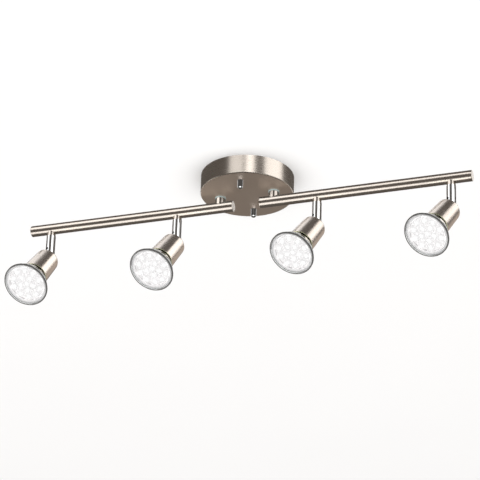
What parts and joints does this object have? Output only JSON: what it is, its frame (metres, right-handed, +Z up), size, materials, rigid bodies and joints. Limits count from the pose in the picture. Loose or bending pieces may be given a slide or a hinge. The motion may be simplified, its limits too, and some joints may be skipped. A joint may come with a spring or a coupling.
{
  "type": "ceiling spotlight bar",
  "caption": "Ceiling spotlight bar: round brushed-nickel canopy, straight tube arms on swivel posts, and tilting cup heads with pin-base LED lamps.",
  "frame": {"origin": "centre of the canopy's back, on the ceiling, midway between the bracket's two screw slots", "axes": "+Z up into the ceiling, +X along the arms, -Y towards the side that the heads point to"},
  "size_m": [0.5054, 0.1089, 0.1333],
  "materials": {
    "brushed_nickel": "brushed satin nickel plate",
    "satin_cup": "fine satin nickel plate, slightly warm",
    "polished_chrome": "polished chrome plate",
    "zinc_steel": "bright zinc plate",
    "brass_terminals": "plain brass",
    "pin_metal": "nickel plate",
    "white_plastic": "matt moulded",
    "ceramic": "glazed steatite",
    "lead_insulation": "satin sleeving",
    "clear_glass": "clear pressed glass",
    "led_board": "white solder mask on aluminium"
  },
  "bodies": {
    "canopy": {"canopy": "brushed_nickel", "mounting_crossbar": "zinc_steel", "crossbar_studs": "zinc_steel", "cap_nuts": "polished_chrome", "earth_screw": "brass_terminals", "terminal_block": "white_plastic", "terminal_screws": "brass_terminals", "canopy_leads": "lead_insulation"},
    "left_arm": {"left_post": "brushed_nickel", "left_post_washer": "white_plastic", "left_post_nut": "zinc_steel", "left_bar": "brushed_nickel", "left_end_caps": "brushed_nickel", "left_collars": "brushed_nickel"},
    "right_arm": {"right_post": "brushed_nickel", "right_post_washer": "white_plastic", "right_post_nut": "zinc_steel", "right_bar": "brushed_nickel", "right_end_caps": "brushed_nickel", "right_collars": "brushed_nickel"},
    "outer_left_stem": {"outer_left_stem": "polished_chrome", "outer_left_tilt_screw": "polished_chrome"},
    "outer_left_head": {"outer_left_tilt_tab": "zinc_steel", "outer_left_cup": "satin_cup", "outer_left_lampholder": "ceramic"},
    "outer_left_lamp": {"outer_left_lamp_base": "white_plastic", "outer_left_lamp_pins": "pin_metal", "outer_left_lamp_reflector": "clear_glass", "outer_left_lamp_lens": "clear_glass", "outer_left_led_board": "led_board"},
    "inner_left_stem": {"inner_left_stem": "polished_chrome", "inner_left_tilt_screw": "polished_chrome"},
    "inner_left_head": {"inner_left_tilt_tab": "zinc_steel", "inner_left_cup": "satin_cup", "inner_left_lampholder": "ceramic"},
    "inner_left_lamp": {"inner_left_lamp_base": "white_plastic", "inner_left_lamp_pins": "pin_metal", "inner_left_lamp_reflector": "clear_glass", "inner_left_lamp_lens": "clear_glass", "inner_left_led_board": "led_board"},
    "inner_right_stem": {"inner_right_stem": "polished_chrome", "inner_right_tilt_screw": "polished_chrome"},
    "inner_right_head": {"inner_right_tilt_tab": "zinc_steel", "inner_right_cup": "satin_cup", "inner_right_lampholder": "ceramic"},
    "inner_right_lamp": {"inner_right_lamp_base": "white_plastic", "inner_right_lamp_pins": "pin_metal", "inner_right_lamp_reflector": "clear_glass", "inner_right_lamp_lens": "clear_glass", "inner_right_led_board": "led_board"},
    "outer_right_stem": {"outer_right_stem": "polished_chrome", "outer_right_tilt_screw": "polished_chrome"},
    "outer_right_head": {"outer_right_tilt_tab": "zinc_steel", "outer_right_cup": "satin_cup", "outer_right_lampholder": "ceramic"},
    "outer_right_lamp": {"outer_right_lamp_base": "white_plastic", "outer_right_lamp_pins": "pin_metal", "outer_right_lamp_reflector": "clear_glass", "outer_right_lamp_lens": "clear_glass", "outer_right_led_board": "led_board"}
  },
  "joints": [
    {"name": "left_arm_swivel", "type": "hinge", "parent": "canopy", "child": "left_arm", "pos_m": [-0.03, 0, -0.0215], "axis": [0, 0, 1], "range_deg": [-90, 90]},
    {"name": "right_arm_swivel", "type": "hinge", "parent": "canopy", "child": "right_arm", "pos_m": [0.03, 0, -0.0215], "axis": [0, 0, 1], "range_deg": [-90, 90]},
    {"name": "outer_left_head_swivel", "type": "hinge", "parent": "left_arm", "child": "outer_left_stem", "pos_m": [-0.2245, 0, -0.042], "axis": [0, 0, 1], "range_deg": [-175, 175]},
    {"name": "outer_left_head_tilt", "type": "hinge", "parent": "outer_left_stem", "child": "outer_left_head", "pos_m": [-0.2245, 0, -0.0667], "axis": [-0.9763, 0.2164, 0], "range_deg": [-123, 47]},
    {"name": "outer_left_lamp_twist", "type": "hinge", "parent": "outer_left_head", "child": "outer_left_lamp", "pos_m": [-0.23116, -0.03005, -0.1061], "axis": [-0.1333, -0.6011, -0.788], "range_deg": [0, 20]},
    {"name": "inner_left_head_swivel", "type": "hinge", "parent": "left_arm", "child": "inner_left_stem", "pos_m": [-0.0785, 0, -0.042], "axis": [0, 0, 1], "range_deg": [-175, 175]},
    {"name": "inner_left_head_tilt", "type": "hinge", "parent": "inner_left_stem", "child": "inner_left_head", "pos_m": [-0.0785, 0, -0.0667], "axis": [-0.9511, 0.309, 0], "range_deg": [-123, 47]},
    {"name": "inner_left_lamp_twist", "type": "hinge", "parent": "inner_left_head", "child": "inner_left_lamp", "pos_m": [-0.08801, -0.02928, -0.1061], "axis": [-0.1902, -0.5855, -0.788], "range_deg": [0, 20]},
    {"name": "inner_right_head_swivel", "type": "hinge", "parent": "right_arm", "child": "inner_right_stem", "pos_m": [0.0785, 0, -0.042], "axis": [0, 0, 1], "range_deg": [-175, 175]},
    {"name": "inner_right_head_tilt", "type": "hinge", "parent": "inner_right_stem", "child": "inner_right_head", "pos_m": [0.0785, 0, -0.0667], "axis": [-0.9239, 0.3827, 0], "range_deg": [-123, 47]},
    {"name": "inner_right_lamp_twist", "type": "hinge", "parent": "inner_right_head", "child": "inner_right_lamp", "pos_m": [0.06672, -0.02844, -0.1061], "axis": [-0.2356, -0.5688, -0.788], "range_deg": [0, 20]},
    {"name": "outer_right_head_swivel", "type": "hinge", "parent": "right_arm", "child": "outer_right_stem", "pos_m": [0.2245, 0, -0.042], "axis": [0, 0, 1], "range_deg": [-175, 175]},
    {"name": "outer_right_head_tilt", "type": "hinge", "parent": "outer_right_stem", "child": "outer_right_head", "pos_m": [0.2245, 0, -0.0667], "axis": [-0.9135, 0.4067, 0], "range_deg": [-125, 45]},
    {"name": "outer_right_lamp_twist", "type": "hinge", "parent": "outer_right_head", "child": "outer_right_lamp", "pos_m": [0.21143, -0.02936, -0.105], "axis": [-0.2614, -0.5872, -0.766], "range_deg": [0, 20]}
  ]
}
